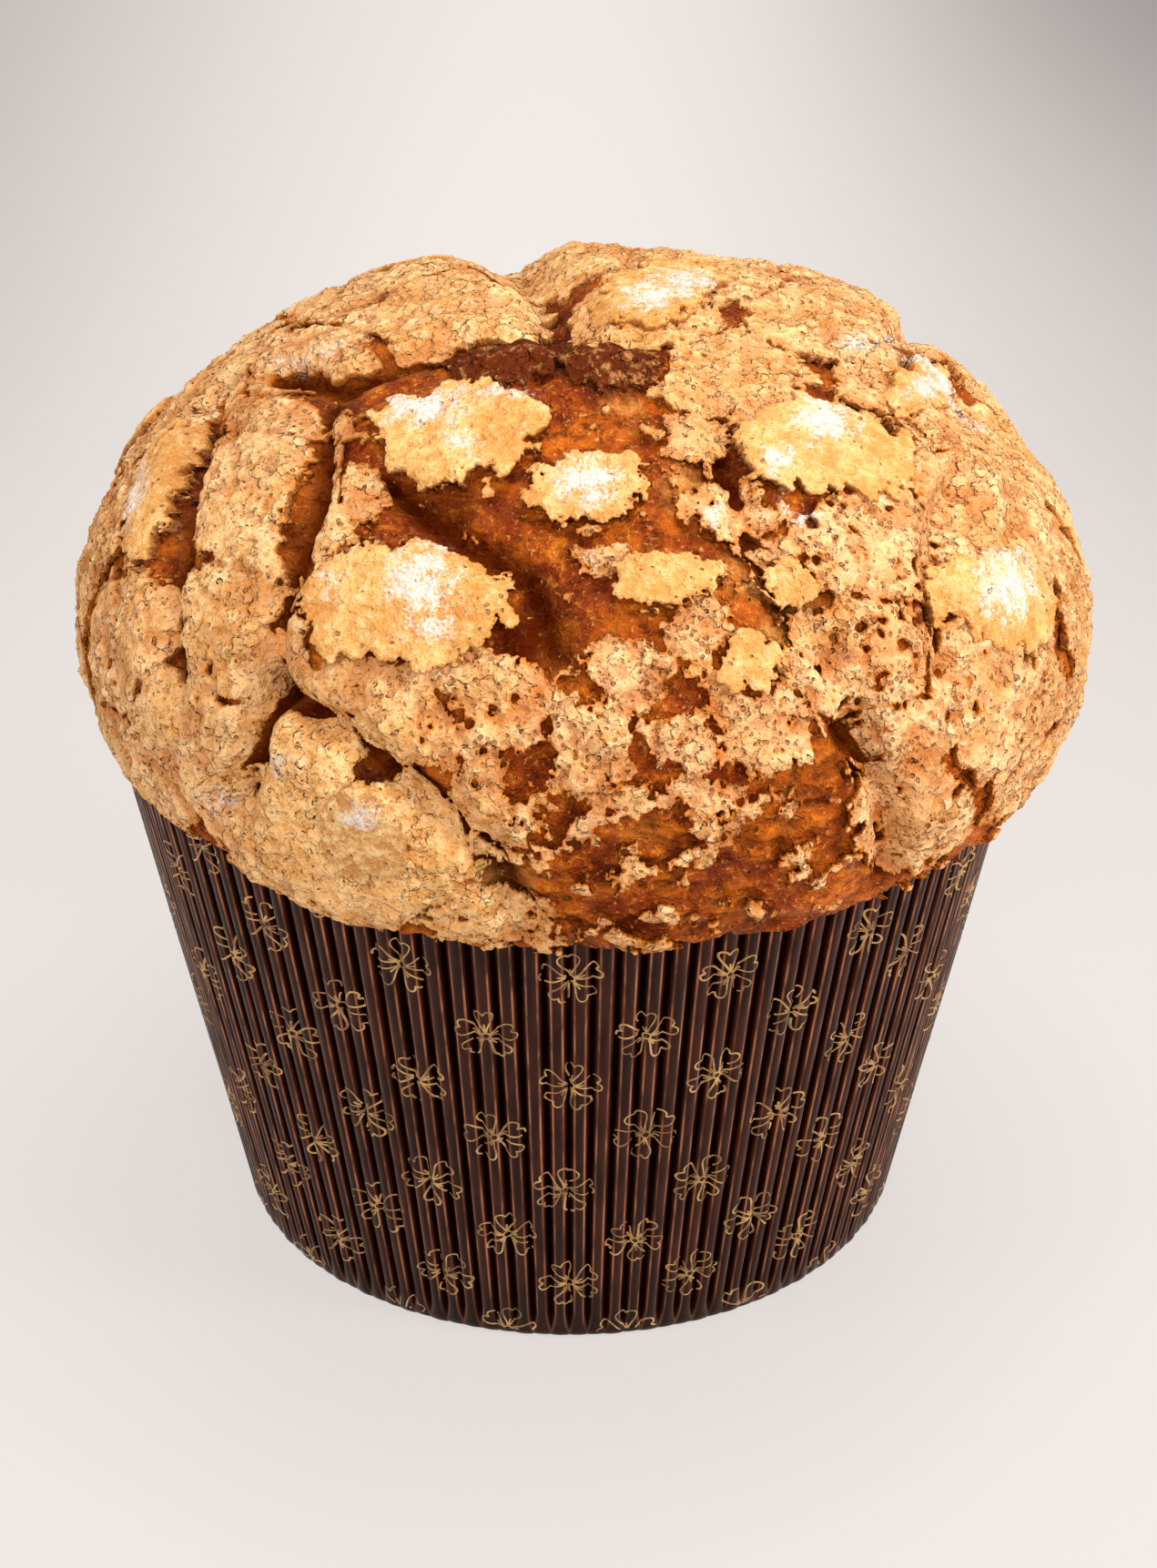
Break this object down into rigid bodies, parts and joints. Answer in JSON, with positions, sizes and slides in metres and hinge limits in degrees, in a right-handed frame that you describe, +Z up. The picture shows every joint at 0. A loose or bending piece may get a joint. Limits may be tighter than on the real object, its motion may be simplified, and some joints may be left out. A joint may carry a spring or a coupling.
{
  "type": "panettone in its paper case",
  "caption": "Tall domed sweet bread with a cracked nut glaze and sugar-dusted flakes, baked in a flared fluted paper case with a flat base.",
  "frame": {"origin": "centre of the paper case's flat base", "axes": "+Z up through the dome, -Y towards the side with the open, darker strip of crust"},
  "size_m": [0.1813, 0.1809, 0.1794],
  "materials": {
    "case_paper": "satin brown paper with thin gold line blossoms",
    "baked_crust": "baked nut glaze over dark crust, with powdered sugar"
  },
  "bodies": {
    "root": {"paper_case": "case_paper", "cake": "baked_crust"}
  },
  "joints": []
}
